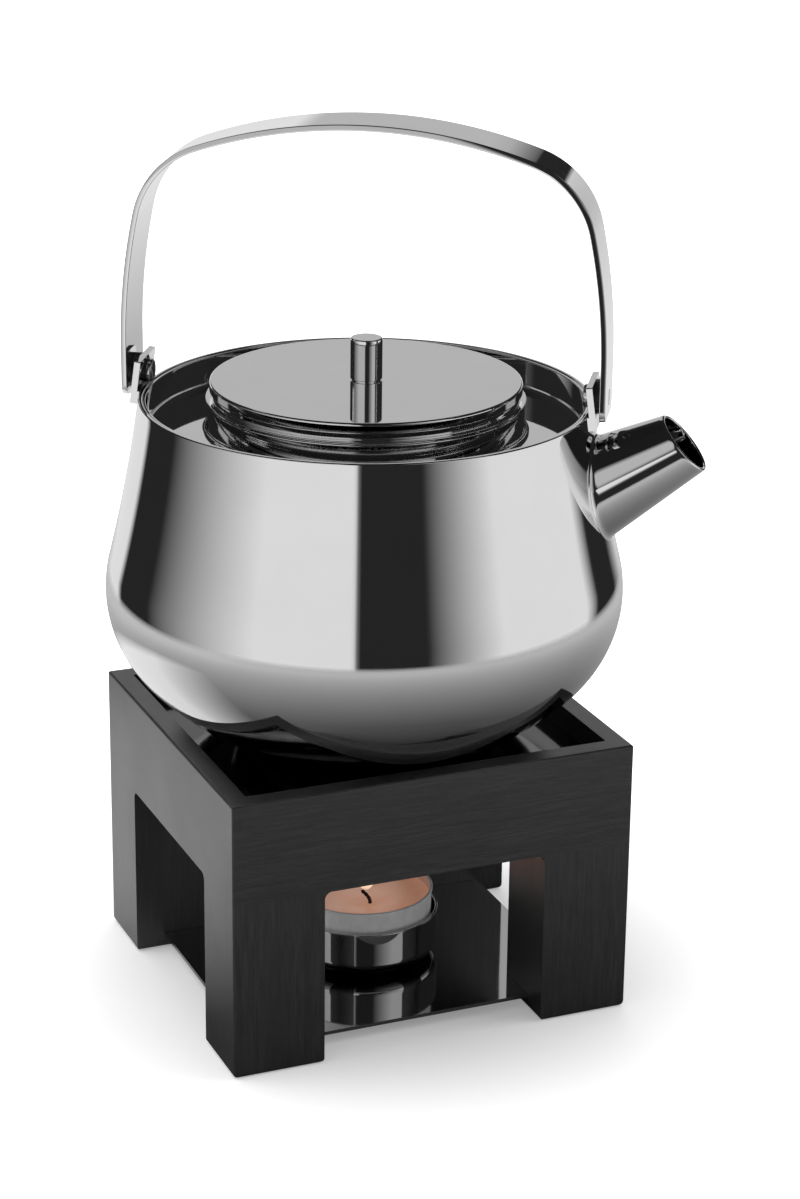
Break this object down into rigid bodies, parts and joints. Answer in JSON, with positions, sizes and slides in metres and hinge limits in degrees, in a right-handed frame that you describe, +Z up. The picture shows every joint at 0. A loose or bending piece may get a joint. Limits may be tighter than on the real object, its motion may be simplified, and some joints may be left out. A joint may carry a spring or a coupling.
{
  "type": "teapot with warmer",
  "caption": "Polished steel teapot with lift-off lid, short spout and swinging strap handle, on a square black wooden warmer with a tealight in a polished holder.",
  "frame": {"origin": "on the table plane, under the middle of the whole outline; the common axis of pot and stand is 4.15 mm towards -X from it", "axes": "+Z up; -Y is the front of the stand; +X to the right; the spout points between +X and -Y, 32.7 degrees from +X"},
  "size_m": [0.1429, 0.1346, 0.2319],
  "materials": {
    "black_wood": "black stained wood, fine open grain, satin",
    "mirror_steel": "mirror polished stainless steel",
    "screw_steel": "bright",
    "pin_steel": "polished",
    "dark_bush": "matte black",
    "foil": "bright thin sheet",
    "clip_metal": "bright thin sheet",
    "wax": "waxy, softly glowing",
    "wick": "burnt cotton"
  },
  "bodies": {
    "stand": {"apron_front": "black_wood", "apron_right": "black_wood", "apron_back": "black_wood", "apron_left": "black_wood", "leg_front_left": "black_wood", "leg_front_right": "black_wood", "leg_back_left": "black_wood", "leg_back_right": "black_wood", "base_plate": "mirror_steel", "tealight_holder": "mirror_steel"},
    "plate": {"heat_plate": "mirror_steel"},
    "tealight": {"tealight_cup": "foil", "wax": "wax", "wick": "wick", "wick_clip": "clip_metal"},
    "pot": {"pot_body": "mirror_steel", "pot_deck": "mirror_steel", "spout": "mirror_steel", "bracket_spout_side": "mirror_steel", "bracket_far_side": "mirror_steel", "bush_spout_side": "dark_bush", "bush_far_side": "dark_bush"},
    "lid": {"lid_cap": "mirror_steel", "lid_skirt": "mirror_steel", "lid_knob": "mirror_steel", "knob_screw": "screw_steel"},
    "bail": {"bail_strap": "mirror_steel", "bail_pins": "pin_steel"}
  },
  "joints": [
    {"name": "plate_lift", "type": "slide", "parent": "stand", "child": "plate", "axis": [0, 0, 1], "range_m": [0, 0.03]},
    {"name": "tealight_lift", "type": "slide", "parent": "stand", "child": "tealight", "axis": [0, 0, 1], "range_m": [0, 0.025]},
    {"name": "pot_lift", "type": "slide", "parent": "plate", "child": "pot", "axis": [0, 0, 1], "range_m": [0, 0.08]},
    {"name": "lid_lift", "type": "slide", "parent": "pot", "child": "lid", "axis": [0, 0, 1], "range_m": [0, 0.045]},
    {"name": "bail_swing", "type": "hinge", "parent": "pot", "child": "bail", "pos_m": [-0.00415, 0, 0.16419], "axis": [0.8415, -0.5402, 0], "range_deg": [-100, 100]}
  ]
}
